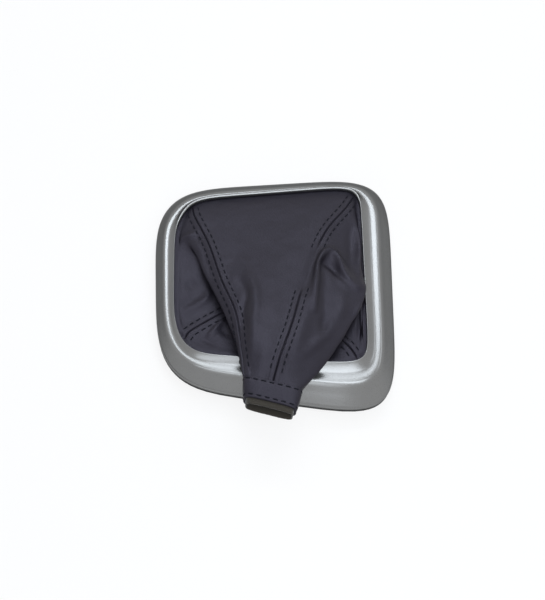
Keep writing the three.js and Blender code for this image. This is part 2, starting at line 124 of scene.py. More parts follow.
# %% Satin silver paint
silver_paint, tree, out = finish_named("satin silver paint on ABS")
where = add(tree, "TexCoord").outputs["Object"]
flakes = add(tree, "TexNoise", Vector=where, Scale=per_mm(0.5), Detail=2.0)
clouds = add(tree, "TexNoise", Vector=where, Scale=per_mm(14), Detail=3.0)
tone = add(
    tree,
    "Mix",
    {"data_type": "RGBA"},
    _0=clouds.outputs["Fac"],
    _6=linear("#797979"),
    _7=linear("#7f7f7e"),
)
gloss = add(
    tree,
    "MapRange",
    Value=flakes.outputs["Fac"],
    From_Min=0.3,
    From_Max=0.7,
    To_Min=0.27,
    To_Max=0.31,
)
grit = add(tree, "Bump", Height=flakes.outputs["Fac"], Strength=0.02, Distance=0.0001)
shader = add(
    tree,
    "BsdfPrincipled",
    Base_Color=tone.outputs[2],
    Metallic=0.85,
    Roughness=gloss.outputs["Result"],
    Normal=grit.outputs["Normal"],
    Coat_Weight=0.05,
    Specular_Tint=linear("#747474"),
    Coat_Roughness=0.2,
)
tree.links.new(shader.outputs["BSDF"], out.inputs["Surface"])
print("silver flake size, mm: 0.5")

# %% [markdown]
# ## Moulded black plastic
# The carrier that clamps the leather is moulded in black polypropylene with a spark-eroded grain. The grain
# scatters the light, so the eye sees a dull black that turns a little grey where it catches the lamp.

# %% Moulded black plastic
black_plastic, tree, out = finish_named("black moulded polypropylene")
where = add(tree, "TexCoord").outputs["Object"]
erosion = add(tree, "TexNoise", Vector=where, Scale=per_mm(0.35), Detail=3.0, Roughness=0.6)
dull = add(tree, "MapRange", Value=erosion.outputs["Fac"], To_Min=0.5, To_Max=0.68)
grain = add(tree, "Bump", Height=erosion.outputs["Fac"], Strength=0.35, Distance=0.0001)
shader = add(
    tree,
    "BsdfPrincipled",
    Base_Color=linear("#101011"),
    Roughness=dull.outputs["Result"],
    IOR=1.49,
    Specular_IOR_Level=0.3,
    Normal=grain.outputs["Normal"],
)
tree.links.new(shader.outputs["BSDF"], out.inputs["Surface"])
print("plastic grain, mm: 0.35")

# %% [markdown]
# ## Dyed nappa leather
# The panels are thin, soft, drum-dyed cowhide with a light pigment coat: near black with a blue-violet cast.
# Its printed grain is of pebbles about a millimetre across with finer pores between them. The coat gives a
# low, broad sheen. Real pebbles flatten where the skin is pulled over a fold, which is left out here.

# %% Dyed nappa leather
nappa, tree, out = finish_named("dyed nappa leather")
where = add(tree, "TexCoord").outputs["Object"]
warp = add(tree, "TexNoise", Vector=where, Scale=per_mm(2.2), Detail=2.0)
bent = add(
    tree,
    "Mix",
    {"data_type": "VECTOR", "blend_type": "MIX"},
    _0=0.0012,
    _4=where,
    _5=warp.outputs["Color"],
)
pebbles = add(tree, "TexVoronoi", {"feature": "F1"}, Vector=bent.outputs[1], Scale=per_mm(1.1))
pores = add(tree, "TexNoise", Vector=where, Scale=per_mm(0.45), Detail=4.0, Roughness=0.6)
wear = add(tree, "TexNoise", Vector=where, Scale=per_mm(18), Detail=4.0, Roughness=0.55)
dye = add(
    tree,
    "Mix",
    {"data_type": "RGBA"},
    _0=wear.outputs["Fac"],
    _6=linear("#100e14"),
    _7=linear("#16141a"),
)
handle = add(
    tree,
    "MapRange",
    Value=wear.outputs["Fac"],
    From_Min=0.3,
    From_Max=0.7,
    To_Min=0.46,
    To_Max=0.54,
)
pebble_bump = add(tree, "Bump", Height=pebbles.outputs["Distance"], Strength=0.28, Distance=0.00022)
pore_bump = add(
    tree,
    "Bump",
    Height=pores.outputs["Fac"],
    Strength=0.22,
    Distance=0.00012,
    Normal=pebble_bump.outputs["Normal"],
)
shader = add(
    tree,
    "BsdfPrincipled",
    Base_Color=dye.outputs[2],
    Roughness=handle.outputs["Result"],
    IOR=1.48,
    Specular_IOR_Level=0.31,
    Specular_Tint=linear("#efe9ff"),
    Normal=pore_bump.outputs["Normal"],
)
tree.links.new(shader.outputs["BSDF"], out.inputs["Surface"])
print("leather pebbles, mm: 1.1, pores, mm: 0.45")

# %% [markdown]
# ## Flesh side of the leather
# Inside the collar shows the back of the hide, brown and napped like suede. Its short fibres catch light from
# every side, so it looks flat and dusty, with no highlight.

# %% Flesh side of the leather
flesh_side, tree, out = finish_named("napped flesh side of leather")
where = add(tree, "TexCoord").outputs["Object"]
nap = add(tree, "TexNoise", Vector=where, Scale=per_mm(0.6), Detail=5.0, Roughness=0.7)
brown = add(
    tree,
    "Mix",
    {"data_type": "RGBA"},
    _0=nap.outputs["Fac"],
    _6=linear("#1f1a12"),
    _7=linear("#352e24"),
)
fibre = add(tree, "Bump", Height=nap.outputs["Fac"], Strength=0.6, Distance=0.0003)
shader = add(
    tree,
    "BsdfPrincipled",
    Base_Color=brown.outputs[2],
    Roughness=0.95,
    IOR=1.4,
    Normal=fibre.outputs["Normal"],
    Sheen_Weight=0.3,
    Sheen_Roughness=0.6,
)
tree.links.new(shader.outputs["BSDF"], out.inputs["Surface"])
print("nap length, mm: 0.6")

# %% [markdown]
# ## Sewing thread
# Bonded polyester thread in dark navy, laid in pairs of rows beside each seam. Three plies are twisted to
# about 0.8 mm, so each stitch is a small matt bar, a little bluer than the leather.

# %% Sewing thread
navy_thread, tree, out = finish_named("bonded polyester thread")
where = add(tree, "TexCoord").outputs["Object"]
plies = add(tree, "TexNoise", Vector=where, Scale=per_mm(0.4), Detail=2.0)
twist = add(tree, "Bump", Height=plies.outputs["Fac"], Strength=0.4, Distance=0.00015)
shader = add(
    tree,
    "BsdfPrincipled",
    Base_Color=linear("#0b0b13"),
    Roughness=0.8,
    IOR=1.5,
    Specular_IOR_Level=0.16,
    Normal=twist.outputs["Normal"],
)
tree.links.new(shader.outputs["BSDF"], out.inputs["Surface"])
print("thread plies, mm: 0.4")

# %% [markdown]
# ## The trim's three outlines
# The frame is a rounded trapezoid. A superellipse draws it with few numbers: the higher its exponent, the
# squarer the corner, and the exponent grows from the thin rail to the thick one. Three such outlines carry
# the trim: its lower edge, its shoulder and its lip. A place between them is a blend of two. Lengths are in
# millimetres. thin and thick are the half widths on the side of each rail, and side_thin and side_thick the
# half depths there. gain makes the far side wider than the near one, and shift and slope move the outline in
# depth.

# %% The trim's three outlines
MIDDLE_MM = np.array([-0.1581, 8.0750, 0.0])  # the trim's middle, from the origin of the part
TRIM_BASE = 10.4
SHOULDER = 15.4
LIP = 19.4
LIP_DEPTH = 2.5
TRIM_WALL = 2.1
CLEARANCE = 0.3

edge_size = dict(
    thin=75, thick=75, side_thin=69.6, side_thick=87.2,
    gain=0.03, shift=0.1, slope=-0.02, exponents=(4.1, 5.6),
)
shoulder_size = dict(
    thin=68, thick=62.3, side_thin=59.2, side_thick=71.8,
    gain=0.023, shift=0.1, slope=0.012, exponents=(4.4, 7.6),
)
lip_size = dict(
    thin=63.5, thick=55.1, side_thin=54.9, side_thick=65,
    gain=0.007, shift=1.84, slope=0.032, exponents=(4.6, 10.2),
)


def half_depth(size, x):
    """Half the depth of an outline at a distance x from its middle."""
    reach = (x + size["thin"]) / (size["thin"] + size["thick"])
    return size["side_thin"] + (size["side_thick"] - size["side_thin"]) * reach


def outline(size, angle):
    """Points of one outline at these angles, in millimetres about the trim's middle."""
    c, s = np.cos(angle), np.sin(angle)
    at_thin, at_thick = size["exponents"]
    power = 2 / (at_thin + (at_thick - at_thin) * (0.5 + 0.5 * c))
    across = np.sign(c) * np.abs(c) ** power
    along = np.sign(s) * np.abs(s) ** power
    x = across * np.where(across > 0, size["thick"], size["thin"])
    y = along * half_depth(size, x)
    return np.stack([x * (1 + size["gain"] * along), y + size["shift"] + size["slope"] * x], -1)


outlines = [
    lambda angle: outline(edge_size, angle),
    lambda angle: outline(shoulder_size, angle),
    lambda angle: outline(lip_size, angle),
]


def turns(count):
    """Angles of a full turn, crowded where a superellipse runs fast: at the middle of each rail."""
    share = np.linspace(0, 1, count // 4 + 1)[:-1]
    eased = share**4 / (share**4 + (1 - share) ** 4)
    return np.append(np.concatenate([(quarter + eased) * np.pi / 2 for quarter in range(4)]), 2 * np.pi)


def rail_points(place, inward, angle):
    """Points of the rail. place is 0 at the trim's edge, 1 at its shoulder and 2 at its lip."""
    first = min(int(place), 1)

    def blend(a):
        return outlines[first](a) * (1 - place + first) + outlines[first + 1](a) * (place - first)

    tangent = blend(angle + 1e-4) - blend(angle - 1e-4)
    tangent /= np.linalg.norm(tangent, axis=-1, keepdims=True)
    normal = np.stack([-tangent[..., 1], tangent[..., 0]], -1)
    return blend(angle) + normal * inward


def even_angles(curve, count, turn_length=300):
    """Angles that share out the length and the turning of an outline evenly."""
    fine = turns(7200)
    steps = np.diff(curve(fine), axis=0)
    heading = np.unwrap(np.arctan2(steps[:, 1], steps[:, 0]))
    turning = np.abs(np.diff(heading, prepend=heading[0]))
    cost = np.linalg.norm(steps, axis=1) / turn_length + turning / (2 * np.pi)
    total = np.concatenate([[0], np.cumsum(cost)])
    return np.interp(np.arange(count) / count * total[-1], total, fine)


print("lip opening, mm:", round(lip_size["thin"] + lip_size["thick"], 1), "wide")

# %% [markdown]
# ## Meshes from grids
# Most of this part is a grid of points bent into shape. One function lays quads over a grid that is open or
# closed either way, and one turns points and quads into a piece. Smooth curves through a few points give the
# grids their lines.


# %% Meshes from grids
def piece_from(name, points_mm, faces, material):
    """A smooth mesh object that rides with the frame. Points are in millimetres about the trim's middle."""
    mesh = bpy.data.meshes.new(name)
    mesh.from_pydata(((points_mm + MIDDLE_MM) / 1000).tolist(), [], faces)
    mesh.update()
    mesh.shade_smooth()
    mesh.materials.append(material)
    piece = bpy.data.objects.new(name, mesh)
    bpy.context.scene.collection.objects.link(piece)
    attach(piece, "root")
    return piece


def grid_faces(rows, count, wrap_rows, wrap_count):
    """Quads of a grid, wound so that row, then column, gives the outward side."""
    r = np.arange(rows if wrap_rows else rows - 1)
    c = np.arange(count if wrap_count else count - 1)
    r, c = (grid.ravel() for grid in np.meshgrid(r, c, indexing="ij"))
    r2, c2 = (r + 1) % rows, (c + 1) % count
    return np.stack([r * count + c, r * count + c2, r2 * count + c2, r2 * count + c], -1)


def smooth_through(points, per_span, closed=False):
    """Rows of points on centripetal curves through the rows that are given."""
    points = np.asarray(points, float)
    if closed:
        ends = [points[-1:], points, points[:2]]
    else:
        ends = [2 * points[:1] - points[1:2], points, 2 * points[-1:] - points[-2:-1]]
    extended = np.concatenate(ends)
    spans = len(points) if closed else len(points) - 1
    at = np.concatenate([s + np.arange(per_span) / per_span for s in range(spans)])
    return spline(extended, at if closed else np.append(at, spans))


def spline(extended, at):
    """Centripetal Catmull-Rom at the parameters given. extended has one more row before and after."""
    last = len(extended) - 4
    i = np.clip(np.floor(at).astype(int), 0, last)
    w = (at - i).reshape(-1, *([1] * (extended.ndim - 1)))
    x0, x1, x2, x3 = (extended[i + k] for k in range(4))

    def gap(a, b):
        return np.sqrt(np.linalg.norm(b - a, axis=-1, keepdims=True)) + 1e-9

    d0, d1, d2 = gap(x0, x1), gap(x1, x2), gap(x2, x3)
    t1 = ((x1 - x0) / d0 - (x2 - x0) / (d0 + d1) + (x2 - x1) / d1) * d1
    t2 = ((x2 - x1) / d1 - (x3 - x1) / (d1 + d2) + (x3 - x2) / d2) * d1
    cubic = 2 * x1 - 2 * x2 + t1 + t2
    square = -3 * x1 + 3 * x2 - 2 * t1 - t2
    return x1 + w * (t1 + w * (square + w * cubic))


def smoothstep(x, low, high):
    """0 below low, 1 above high, and a smooth step between them."""
    t = np.clip((x - low) / (high - low), 0, 1)
    return t * t * (3 - 2 * t)


print("mesh helpers: piece_from, grid_faces, smooth_through, spline, smoothstep")

# %% [markdown]
# ## Silver trim
# The real trim is one injection moulding: a skirt that curves up from the console, a narrow ledge that the
# eye reads as the bright line, a band that climbs to the opening, and a rounded lip over the leather. It
# could be swept as a curve with a bevel profile, but its rails differ in width, so its profile is laid out
# from outline to outline instead. Each row has a place between the outlines, a distance inward and a height
# over the trim's base. Corners are drawn with a small radius, because a moulding has no sharp edge. On the
# far rail the ledge and the lip lie further inward.

# %% Silver trim
TRIM_COLUMNS = 300
FAR_LEDGE_SHIFT = 0.26
FAR_LIP_INWARD = 1.2
rim = LIP - LIP_DEPTH
rise = LIP - SHOULDER
trim_profile = [
    # the foot and the curved skirt
    (0, 0.9, 0), (0, 0.35, 0.02), (0, 0.08, 0.15), (0, 0, 0.45), (0, 0, 1.15),
    (0, 0.1, 1.5), (0, 0.34, 1.75), (0, 0.5, 2.0), (0.02, 0.4, 2.6),
    (0.05, 0.1, SHOULDER * 0.185), (0.10, 0, SHOULDER * 0.235), (0.18, 0, SHOULDER * 0.33),
    (0.27, 0, SHOULDER * 0.435), (0.38, 0, SHOULDER * 0.56), (0.49, 0, SHOULDER * 0.68),
    # over the shoulder on to the ledge
    (0.60, 0, SHOULDER * 0.82), (0.68, 0, SHOULDER * 0.905), (0.74, 0, SHOULDER * 0.953),
    (0.78, 0, SHOULDER * 0.975), (0.82, 0, SHOULDER * 0.988), (0.86, 0, SHOULDER * 0.995),
    (0.91, 0, SHOULDER * 0.999),
    (0.97, 0, SHOULDER), (1.05, 0, SHOULDER), (1.13, 0, SHOULDER + rise * 0.008),
    (1.21, 0, SHOULDER + rise * 0.024), (1.28, 0, SHOULDER + rise * 0.055), (1.37, 0, SHOULDER + rise * 0.13),
    # the band that climbs to the lip
    (1.48, 0, SHOULDER + rise * 0.25), (1.60, 0, SHOULDER + rise * 0.40), (1.74, 0, SHOULDER + rise * 0.59),
    (1.86, 0, SHOULDER + rise * 0.77), (1.95, 0, SHOULDER + rise * 0.92), (1.985, 0, LIP - 0.03),
    (2, 0.06, LIP - 0.12),
    # down inside the lip and back under the whole shell
    (2, 0.22, LIP - 0.8), (2, 0.28, rim + 0.5), (2, 0.25, rim + 0.1), (2, 0, rim), (2, -1.2, rim),
    (2, -1.8, rim + 0.1), (1.9, 0, rim), (1.3, 0, SHOULDER - 0.84), (0.98, 0, SHOULDER - TRIM_WALL),
    (0.62, 0.6, SHOULDER * 0.8 - TRIM_WALL), (0.36, 1.3, SHOULDER * 0.54 - TRIM_WALL),
    (0.14, 1.9, SHOULDER * 0.12), (0.02, 2.4, 1.0), (0, 2.5, 0.1), (0, 1.8, 0),
]
trim_angles = even_angles(outlines[1], TRIM_COLUMNS)
on_far_rail = smoothstep(np.sin(trim_angles), 0.2, 0.7)[:, None]


def trim_ring(place, inward):
    """One row of the trim. On the far rail the ledge and the lip lie further inward."""
    shifted = place + FAR_LEDGE_SHIFT * np.sin(np.pi * np.clip((place - 0.4) / 1.6, 0, 1))
    plain = rail_points(place, inward, trim_angles)
    moved = rail_points(shifted, inward + FAR_LIP_INWARD * (place == 2), trim_angles)
    return plain * (1 - on_far_rail) + moved * on_far_rail


trim_rows = [
    np.column_stack([trim_ring(place, inward), np.full(TRIM_COLUMNS, TRIM_BASE + height)])
    for place, inward, height in trim_profile
]
trim_grid = np.array(trim_rows)
silver_trim = piece_from(
    "silver_trim",
    trim_grid.reshape(-1, 3),
    grid_faces(len(trim_rows), TRIM_COLUMNS, True, True).tolist(),
    silver_paint,
)
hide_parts("trim_bezel")
print("trim rows:", len(trim_rows), "faces:", len(silver_trim.data.polygons))

# %% [markdown]
# ## Guide lines of the gaiter
# A gaiter is sewn from four panels into a tapering tube, wide at the frame and narrow at the collar. Fallen
# over, it forms a few big folds: a top panel that bridges to the rail, an overhang on each side of it, and
# slack leather beneath. Eleven lines from the frame to the collar describe them. Each line has a bearing
# where it leaves the frame, an angle where it meets the collar, and five places on its way: shares of the
# opening's half width and half depth, and a height over the clamp in millimetres.

# %% Guide lines of the gaiter
guides = [
    ("far", 91.5, 112, [(-0.03, 0.83, 2.6), (-0.06, 0.35, 8.1), (-0.11, -0.19, 14.1),
        (-0.16, -0.67, 18.1), (-0.19, -1.04, 19.1)]),
    ("seam_far_thin", 137, 158, [(-0.81, 0.76, 1.6), (-0.67, 0.36, 5.1), (-0.54, -0.15, 9.1),
        (-0.41, -0.55, 12.1), (-0.36, -0.93, 13.1)]),
    ("fold_thin", 150.3, 184, [(-0.92, 0.52, 0.6), (-0.84, 0.37, 2.1), (-0.7, -0.05, 4.6),
        (-0.54, -0.47, 7.1), (-0.41, -0.88, 9.1)]),
    ("under_thin", 172, 212, [(-0.91, 0.09, -0.5), (-0.52, -0.18, -1.1), (-0.41, -0.17, 1.1),
        (-0.44, -0.3, 3.4), (-0.35, -0.9, 4.4)]),
    ("seam_near_thin", 218, 242, [(-0.84, -0.71, -0.9), (-0.43, -0.38, -1.3), (-0.34, -0.33, 1),
        (-0.35, -0.43, 3.5), (-0.24, -0.94, 4.3)]),
    ("near", 260.8, 265, [(-0.15, -0.89, -0.7), (-0.14, -0.49, -1.5), (-0.13, -0.4, 0.9),
        (-0.13, -0.49, 3.5), (-0.11, -0.96, 4.3)]),
    ("seam_near_thick", 310, 290, [(0.78, -0.75, -0.7), (0.4, -0.45, -1.4), (0.36, -0.36, 1.2),
        (0.31, -0.46, 3.9), (0.07, -1, 4.5)]),
    ("under_thick", 332.3, 322, [(0.93, -0.42, -0.4), (0.73, -0.35, -0.9), (0.6, -0.28, 1.5),
        (0.53, -0.39, 3.9), (0.29, -1.01, 4.9)]),
    ("fold_thick", 384.7, 368, [(0.98, 0.24, 1.1), (0.97, 0.04, 2.6), (0.99, -0.22, 5.6),
        (0.74, -0.68, 8.1), (0.46, -1.09, 9.6)]),
    ("ridge_thick", 400.6, 428, [(0.93, 0.58, 1.6), (0.77, 0.31, 3.6), (0.59, -0.13, 10.6),
        (0.43, -0.67, 14.1), (0.25, -1.07, 15.1)]),
    ("seam_far_thick", 408.3, 450, [(0.83, 0.78, 2.6), (0.56, 0.45, 6.6), (0.28, -0.22, 13.1),
        (0.13, -0.71, 17.1), (0, -1.07, 18.1)]),
]
CLAMP_LEVEL = TRIM_BASE + LIP - LIP_DEPTH
LEATHER = 1.2
CLAMP_EDGE = ((-1.8, 0.0), (1.1, 0.0), (2.4, 0.15))  # inward of the lip, and up, for the clamped edge
guide_count = len(guides)
base_bearing = np.array([g[1] for g in guides] + [guides[0][1] + 360.0])
collar_bearing = np.array([g[2] for g in guides] + [guides[0][2] + 360.0])
shares = np.array([g[3] for g in guides])
print("guide lines:", ", ".join(g[0] for g in guides))

# %% [markdown]
# ## Collar section
# The sleeve ends in a flattened tube: a superellipse again, 35 mm wide and 11 mm high, that narrows a little
# toward its mouth and droops. The mouth is cut on a slant, so its lower wall reaches further. The collar
# starts just past the near edge of the trim and a little above its lip.

# %% Collar section
COLLAR_SIDE = -4.3
PAST_EDGE = 1.6
OVER_LIP = 2.8
HALF_WIDTH = 17.5
HALF_HEIGHT = 5.3
NARROWS_BY = 2.1
FLATTENS_BY = 0.4
COLLAR_EXPONENT = 4.2
MOUTH_SLANT = 0.22
start_depth = -half_depth(edge_size, COLLAR_SIDE) - PAST_EDGE
start = np.array([COLLAR_SIDE, start_depth, TRIM_BASE + LIP + OVER_LIP + HALF_HEIGHT])
run = np.array([-1.9, -13.4, -1.5])
run_length = np.linalg.norm(run)


def collar_points(share, angle, grow=0.0, extra=0.0):
    """Points of the collar. share is 0 at its start and 1 at its mouth, grow moves them outward."""
    turn = np.radians(-13.7 - 1.0 * share)
    half_width = HALF_WIDTH - NARROWS_BY * share + grow
    half_height = HALF_HEIGHT - FLATTENS_BY * share + grow
    c, s = np.cos(angle), np.sin(angle)
    across = np.sign(c) * np.abs(c) ** (2 / COLLAR_EXPONENT) * half_width
    height = np.sign(s) * np.abs(s) ** (2 / COLLAR_EXPONENT) * half_height
    reach = extra - share * MOUTH_SLANT * height
    plain = np.stack([np.cos(turn) * across, np.sin(turn) * across, height], -1)
    return start + run * share + plain + (run / run_length) * np.asarray(reach)[..., None]


print("collar length, mm:", round(float(run_length), 1))

# %% [markdown]
# ## Leather surface
# One smooth surface is lofted over the guide lines and cut into panels afterwards, because on the real
# gaiter a fold runs on across a seam. A place on it has two numbers: u counts the guide lines around, and v
# counts the steps from the clamp, at 0, to the collar, at 8.

# %% Leather surface
fine_turn = turns(7200)
fine_lip = outlines[2](fine_turn)
fine_bearing = np.unwrap(np.arctan2(fine_lip[:, 1], fine_lip[:, 0]))
opening_x = shares[..., 0] * np.where(shares[..., 0] > 0, lip_size["thick"], lip_size["thin"])
opening_y = shares[..., 1] * half_depth(lip_size, opening_x)
rings = np.stack([opening_x, opening_y, CLAMP_LEVEL + shares[..., 2]], -1)
rings_closed = np.concatenate([rings[-1:], rings, rings[:2]])


def control_lines(u):
    """The nine places that each line u passes, from the clamp under the lip to the collar."""
    u = np.asarray(u, float) % guide_count
    knots = np.arange(guide_count + 1)
    bearing = np.radians(np.interp(u, knots, base_bearing)) % (2 * np.pi)
    lip_angle = np.interp(bearing, fine_bearing, fine_turn, period=2 * np.pi)
    clamp = [
        np.column_stack([rail_points(2, inward, lip_angle), np.full(len(u), CLAMP_LEVEL - CLEARANCE + up_by)])
        for inward, up_by in CLAMP_EDGE
    ]
    middle = spline(rings_closed, u).transpose(1, 0, 2)
    collar = collar_points(0.0, np.radians(np.interp(u, knots, collar_bearing)))
    return np.concatenate([np.array(clamp), middle, collar[None]])


def leather_at(u, v):
    """Points of the surface before its folds are raised: one row for each v, one column for each u."""
    lines = control_lines(u)
    extended = np.concatenate([2 * lines[:1] - lines[1:2], lines, 2 * lines[-1:] - lines[-2:-1]])
    return spline(extended, np.asarray(v, float))


print("opening, mm:", [round(float(x), 1) for x in np.ptp(fine_lip, axis=0)])

# %% [markdown]
# ## Rows and columns of the leather
# A grid whose columns follow the seams lets each panel be cut out along its own columns. The points lie
# closer together beside the seams, where the relief is finest, and about a millimetre apart elsewhere.


# %% Rows and columns of the leather
def spaced_along(coarse, length, near_ends, step):
    """Parameters that lie near_ends millimetres from both ends, then step apart."""
    middle_length = length[-1] - 2 * near_ends[-1]
    inner = np.linspace(near_ends[-1], length[-1] - near_ends[-1], int(middle_length / step) + 2)[1:-1]
    at = np.concatenate([near_ends, inner, length[-1] - np.array(near_ends[::-1])])
    return np.interp(at, length, coarse)


ROW_STEP = 0.85
COLUMN_STEP = 1.15
coarse_v = np.linspace(0, 8, 241)
coarse_u = np.linspace(0, guide_count, 661)
coarse = leather_at(coarse_u, coarse_v)
down_steps = np.linalg.norm(np.diff(coarse, axis=0), axis=2).mean(axis=1)
down_length = np.concatenate([[0], np.cumsum(down_steps)])
rows_v = spaced_along(coarse_v, down_length, [0.0, 0.8], ROW_STEP)

PANELS = {"front_panel": (10, 12), "left_panel": (1, 4), "rear_panel": (4, 6), "right_panel": (6, 10)}
beside_seam = [0.0, 0.2, 0.42, 0.66, 0.95, 1.3, 1.8, 2.4, 2.9, 3.25, 3.6, 3.95, 4.3, 4.8, 5.5]
columns_u, panel_columns = [], {}
for name, (first, last) in PANELS.items():
    sample = np.linspace(first, last, 400)
    across_steps = np.linalg.norm(np.diff(leather_at(sample, coarse_v[60::6]), axis=1), axis=2).mean(axis=0)
    across_length = np.concatenate([[0], np.cumsum(across_steps)])
    spots = spaced_along(sample, across_length, beside_seam, COLUMN_STEP)
    panel_columns[name] = (len(columns_u), len(columns_u) + len(spots) - 1)
    columns_u += list(spots[:-1])
columns_u = np.array(columns_u)
column_count = len(columns_u)
surface = leather_at(columns_u, rows_v)
print("leather grid:", surface.shape[0], "rows by", column_count, "columns")

# %% [markdown]
# ## Folds
# Real folds come from leather with too much length for its span. A cloth simulation would find some, but not
# these ones, so the folds that the eye knows the object by are raised one by one. Each is a crest line on the
# surface, with a height and a width: it lifts or sinks the leather along its normal and fades at its ends.


# %% Folds
LINE_POINTS = 60


def normals_of(grid):
    """The outward side of a grid that closes around, at each of its points."""
    down = np.gradient(grid, axis=0)
    around = np.roll(grid, -1, axis=1) - np.roll(grid, 1, axis=1)
    normal = np.cross(around, down)
    return normal / np.maximum(np.linalg.norm(normal, axis=2, keepdims=True), 1e-9)


def even_line(points, count):
    """Points the same distance apart on a smooth curve through the points given."""
    curve = smooth_through(points, 12)
    length = np.concatenate([[0], np.cumsum(np.linalg.norm(np.diff(curve, axis=0), axis=1))])
    at = np.linspace(0, length[-1], count)
    return np.stack([np.interp(at, length, curve[:, k]) for k in range(curve.shape[1])], -1)


def along_crest(points, crest, height, radius, end):
    """How far a crest line lifts each point. It fades at its ends like a sine wave begun at the share end."""
    line = even_line(np.array(crest), LINE_POINTS)
    gap = np.linalg.norm(points[:, :, None] - line, axis=3)
    nearest = gap.argmin(axis=2) / (LINE_POINTS - 1)
    fade = np.sqrt(np.sin(np.pi * (end + (1 - 2 * end) * nearest)))
    return height * np.exp(-((gap.min(axis=2) / radius) ** 2)) * fade


def on_opening(place):
    """Millimetres about the trim's middle, from shares of the opening's half width and half depth."""
    x = place[0] * (lip_size["thick"] if place[0] > 0 else lip_size["thin"])
    return (x, place[1] * half_depth(lip_size, x))


big_folds = [
    ("arch", 1.6, 3.6, [(0.47, 0.01), (0.51, 0.15), (0.61, 0.22), (0.7, 0.14), (0.78, -0.01), (0.91, -0.16)]),
    ("arch limb", 1.8, 4.4, [(0.47, 0.01), (0.38, -0.28), (0.27, -0.65), (0.17, -0.98)]),
    ("middle", 1.0, 5.0, [(-0.3, 0.05), (-0.24, -0.27), (-0.23, -0.57), (-0.25, -0.93)]),
]
normals = normals_of(surface)
lift = np.zeros(surface.shape[:2])
for name, height, radius, crest in big_folds:
    lift += along_crest(surface[..., :2], [on_opening(place) for place in crest], height, radius, 0.12)
lift *= smoothstep(normals[..., 2], 0.15, 0.6) * smoothstep(rows_v, 2.5, 3.25)[:, None]
surface = surface + normals * lift[..., None]
print("big folds:", [fold[0] for fold in big_folds], "highest lift, mm:", round(float(lift.max()), 2))

# %% [markdown]
# ## Small creases
# Softer dents and creases come next, and a slow unevenness over all. Each crease has a height, a width and a
# line of places. The places are given by u and v, so each crease stays on its own layer of the leather even
# where another layer lies under it.

# %% Small creases
creases = [
    # right panel: the looped arch, the pocket under it, and what hangs from its feet
    (2.4, 1.7, [(9.32, 5.67), (9.48, 5.2), (9.64, 4.83), (9.74, 4.57), (9.64, 4.38), (9.45, 4.31),
                (9.24, 4.32), (9.01, 4.41), (8.77, 4.7), (8.56, 4.92), (8.39, 5.02)]),
    (-2.6, 2.8, [(9.5, 4.75), (9.48, 4.58), (9.24, 4.6), (9.0, 4.72), (8.8, 4.86)]),
    (0.9, 1.4, [(9.08, 4.8), (8.88, 4.89), (8.72, 5.02), (8.56, 5.12)]),
    (-1.2, 2.8, [(9.32, 4.85), (9.08, 5.25), (8.88, 5.84)]),
    (1.3, 3.4, [(8.6, 5.3), (8.55, 5.55), (8.55, 5.8)]),
    (-1.2, 2.6, [(8.9, 5.8), (8.8, 6.1)]),
    (1.2, 3.2, [(8.61, 5.93), (8.66, 6.14), (8.83, 6.43), (9.08, 6.82)]),
    # beside the right rail: a long ridge, the valley next to it, and the loop below
    (1.1, 1.6, [(8.66, 2.67), (8.45, 3.2), (8.33, 3.61), (8.3, 4.2), (8.33, 4.88)]),
    (-1.3, 3.0, [(9.16, 3.3), (8.9, 3.6), (8.72, 3.86), (8.6, 4.3), (8.56, 4.62)]),
    (0.7, 1.4, [(8.12, 5.29), (8.12, 5.46), (8.04, 5.63)]),
    (-1.0, 2.0, [(7.03, 3.04), (6.8, 2.9), (6.61, 2.78), (6.34, 2.67)]),
    # left: the fold's bright rim, the round top of the recess, and the dents inside it
    (0.6, 2.0, [(1.62, 3.94), (1.6, 4.28), (1.65, 4.62), (1.7, 5.06)]),
    (1.0, 2.2, [(2.35, 2.5), (2.24, 2.88), (2.0, 3.37), (1.7, 3.62), (1.35, 3.6)]),
    (1.3, 1.8, [(3.25, 3.62), (3.43, 3.53), (3.54, 3.41), (3.65, 3.09)]),
    (-0.8, 1.6, [(3.2, 3.5), (3.32, 3.45), (3.43, 3.3), (3.54, 3.1)]),
    (-0.9, 3.2, [(3.18, 3.1), (3.21, 3.22), (3.25, 3.32)]),
    (1.2, 1.6, [(4.3, 3.2), (4.24, 3.44), (4.22, 3.56), (4.25, 3.66)]),
    (-1.1, 2.0, [(4.48, 3.37), (4.4, 3.45), (4.33, 3.51)]),
    (-0.8, 2.2, [(4.43, 3.05), (4.3, 3.1), (4.2, 3.16)]),
    # front panel: the valley and the ridge that run down to the collar, and the slack beside the right seam
    (-1.3, 2.4, [(0.56, 5.02), (0.49, 5.2), (0.46, 5.42), (0.56, 5.67), (0.67, 5.93), (0.75, 6.46)]),
    (1.1, 3.0, [(0.35, 4.92), (0.28, 5.16), (0.25, 5.42), (0.25, 5.67), (0.32, 6.14), (0.35, 6.65),
                (0.42, 7.5)]),
    (-1.0, 3.2, [(9.97, 4.0), (9.97, 4.24), (9.93, 4.7), (9.89, 5.2)]),
]


def place_on(grid, u, v):
    """A point of the present surface at u and v."""
    column = int(np.abs((columns_u - u + guide_count / 2) % guide_count - guide_count / 2).argmin())
    row = int(np.abs(rows_v - v).argmin())
    return grid[row, column]


normals = normals_of(surface)
lift = np.zeros(surface.shape[:2])
for height, radius, crest in creases:
    lift += along_crest(surface, [place_on(surface, u, v) for u, v in crest], height, radius, 0.06)


UNEVEN_BY = 0.28


def unevenness(point):
    """Slow noise, with waves of about 11 mm and weaker ones of 5 mm."""
    return noise.noise(Vector(point) / 11) + 0.5 * noise.noise(Vector(point) / 5)


